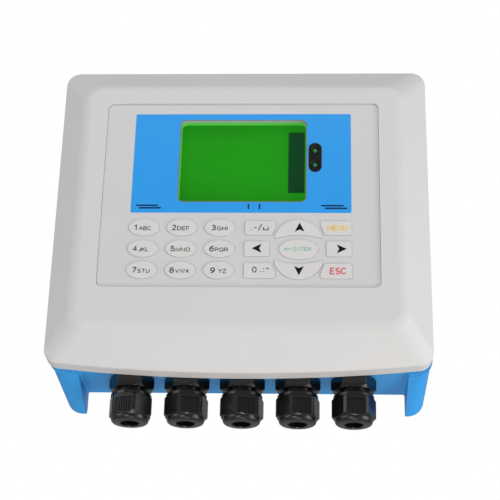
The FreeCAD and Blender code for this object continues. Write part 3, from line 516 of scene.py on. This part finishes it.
# Height of the legends' foot from the middle of a key.
BASELINE = -1.65
for number, (letters, digit_from, digit_to, word_from, word_to) in OVALS.items():
    key = "key_%d" % number
    left, right, _, _, low, high = box_mm(key)
    middle_x = (left + right) / 2
    bottom = (low + high) / 2 + BASELINE
    text(key + "_digit", str(number), middle_x + digit_from, bottom, digit_to - digit_from,
         DIGIT_HIGH, DIGIT_WEIGHT, KEY_FRONT, MATERIALS["ink_grey"], key)
    text(key + "_letters", letters, middle_x + word_from, bottom, word_to - word_from,
         LETTER_HIGH, LETTER_WEIGHT, KEY_FRONT, MATERIALS["ink_grey"], key)


def arrow(name, key, points):
    """A solid arrow printed on a key."""
    flat(name, [points], KEY_FRONT, INK, MATERIALS["ink"], key)


def turned(points, quarter_turns, x, z):
    """Points turned by quarter turns and moved to x, z."""
    a = math.radians(90 * quarter_turns)
    return [
        (x + px * math.cos(a) - pz * math.sin(a), z + px * math.sin(a) + pz * math.cos(a))
        for px, pz in points
    ]


# An arrow head that points up, about its own middle.
ARROW = [(0.0, 2.4), (2.35, -2.4), (0.0, -1.3), (-2.35, -2.4)]
arrow("key_up_arrow", "key_up", turned(ARROW, 0, 28.9, -8.4))
arrow("key_down_arrow", "key_down", turned(ARROW, 2, 28.7, -31.2))
arrow("key_left_arrow", "key_left", turned(ARROW, 1, 8.4, -19.6))
arrow("key_right_arrow", "key_right", turned(ARROW, 3, 49.0, -19.8))

text("key_escape_word", "ESC", 43.2, -33.1, 8.0, 3.6, WORD_WEIGHT, KEY_FRONT, MATERIALS["ink_red"],
     "key_escape")
text("key_menu_word", "MENU", 41.9, -10.5, 10.0, 3.4, WORD_WEIGHT, KEY_FRONT, MATERIALS["ink_yellow"],
     "key_menu")
text("key_enter_word", "ENTER", 26.0, -21.1, 8.4, 2.2, SMALL_WORD_WEIGHT, KEY_FRONT,
     MATERIALS["ink_green"], "key_enter")
arrow_left = [(21.3, -20.0), (22.9, -18.9), (22.9, -19.75), (25.2, -19.75), (25.2, -20.25),
              (22.9, -20.25), (22.9, -21.1)]
flat("key_enter_arrow", [arrow_left], KEY_FRONT, INK, MATERIALS["ink_green"], "key_enter")
strokes("key_dash_symbols",
        [[(5.7, -9.9), (6.2, -9.9)], [(7.0, -8.8), (8.3, -8.8)], [(9.1, -10.3), (10.7, -6.7)],
         [(11.5, -8.4), (11.5, -9.9), (13.8, -9.9), (13.8, -8.4)]],
        SYMBOL_WEIGHT, KEY_FRONT, MATERIALS["ink_grey"], "key_dash")
text("key_zero_digit", "0", 6.5, -32.3, 2.2, 3.1, ZERO_WEIGHT, KEY_FRONT, MATERIALS["ink_grey"],
     "key_zero")
strokes("key_zero_symbols",
        [[(10.3, -31.8), (10.8, -31.8)], [(11.7, -31.8), (12.2, -31.8)],
         [(11.7, -30.1), (12.2, -30.1)], [(13.1, -30.1), (14.4, -30.1)]],
        SYMBOL_WEIGHT, KEY_FRONT, MATERIALS["ink_grey"], "key_zero")

# ---------------------------------------------------------------- camera, lights and floor
# Places and sizes here are in metres; the lens and the sensor are in millimetres.
LENS = 100.8
SENSOR_WIDTH = 36.0
CLIP_NEAR, CLIP_FAR = 0.01, 50.0
CAMERA_PLACE = (0.03652, -0.66224, -0.29696)
camera_data = bpy.data.cameras.new("camera")
camera_data.sensor_width = SENSOR_WIDTH
camera_data.lens = LENS
camera_data.clip_start = CLIP_NEAR
camera_data.clip_end = CLIP_FAR
camera = bpy.data.objects.new("camera", camera_data)
bpy.context.scene.collection.objects.link(camera)
# The camera's own axes, as directions in the frame.
CAMERA_RIGHT = Vector((0.99890, 0.04124, 0.02224))
CAMERA_UP = Vector((-0.00314, -0.41479, 0.90991))
CAMERA_BACK = Vector((0.04675, -0.90898, -0.41421))
turn = Matrix((CAMERA_RIGHT, CAMERA_UP, CAMERA_BACK)).transposed()
camera.matrix_world = Matrix.Translation(CAMERA_PLACE) @ turn.to_4x4()
bpy.context.scene.camera = camera


def area_light(name, place, power, size, colour=(1, 1, 1)):
    """A square soft light that points at the frame's origin; power is in watts."""
    data = bpy.data.lights.new(name, "AREA")
    data.energy = power
    data.size = size
    data.color = colour
    made = bpy.data.objects.new(name, data)
    bpy.context.scene.collection.objects.link(made)
    made.location = place
    made.rotation_mode = "QUATERNION"
    made.rotation_quaternion = Vector(place).to_track_quat("Z", "Y")


area_light("right_light", (1.20, -0.42, -0.10), 5.6, 0.8)
area_light("left_light", (-1.05, -0.70, 0.05), 3.0, 0.8)
area_light("low_light", (0.95, -0.40, -0.80), 4.8, 0.5, (1.0, 0.955, 0.90))
area_light("low_front_light", (-0.30, -0.95, -0.70), 2.2, 0.5, (1.0, 0.97, 0.94))
area_light("bounce_light", (0.10, -0.40, -1.00), 2.0, 0.14, (1.0, 0.93, 0.82))
area_light("top_light", (0.00, -0.78, 1.00), 4.8, 0.8, (0.97, 0.97, 1.0))

# The room is dimmer than the white sheet behind the object, which only the camera sees.
ROOM_LIGHT = 0.32
SHEET_LIGHT = 1.0
world = bpy.data.worlds.new("studio")
bpy.context.scene.world = world
world.use_nodes = True
room = world.node_tree
sky = room.nodes["Background"]
sky.inputs["Color"].default_value = (1.0, 1.0, 1.0, 1)
rays = room.nodes.new("ShaderNodeLightPath")
level = room.nodes.new("ShaderNodeMapRange")
level.inputs["To Min"].default_value = ROOM_LIGHT
level.inputs["To Max"].default_value = SHEET_LIGHT
room.links.new(rays.outputs["Is Camera Ray"], level.inputs["Value"])
room.links.new(level.outputs["Result"], sky.inputs["Strength"])
bpy.context.scene.view_settings.view_transform = "Standard"

FLOOR_HALF = 3.0
FLOOR_HEIGHT = -1.60
floor_mesh = bpy.data.meshes.new("floor")
grid = bmesh.new()
bmesh.ops.create_grid(grid, x_segments=1, y_segments=1, size=FLOOR_HALF)
grid.to_mesh(floor_mesh)
grid.free()
floor = bpy.data.objects.new("floor", floor_mesh)
bpy.context.scene.collection.objects.link(floor)
floor.location = (0, 0, FLOOR_HEIGHT)
floor_mesh.materials.append(surface("floor_pale", (0.82, 0.82, 0.82), 0.8, 0.02, 2.0, 60.0, 0.02, 1))
floor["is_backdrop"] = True

low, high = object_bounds()
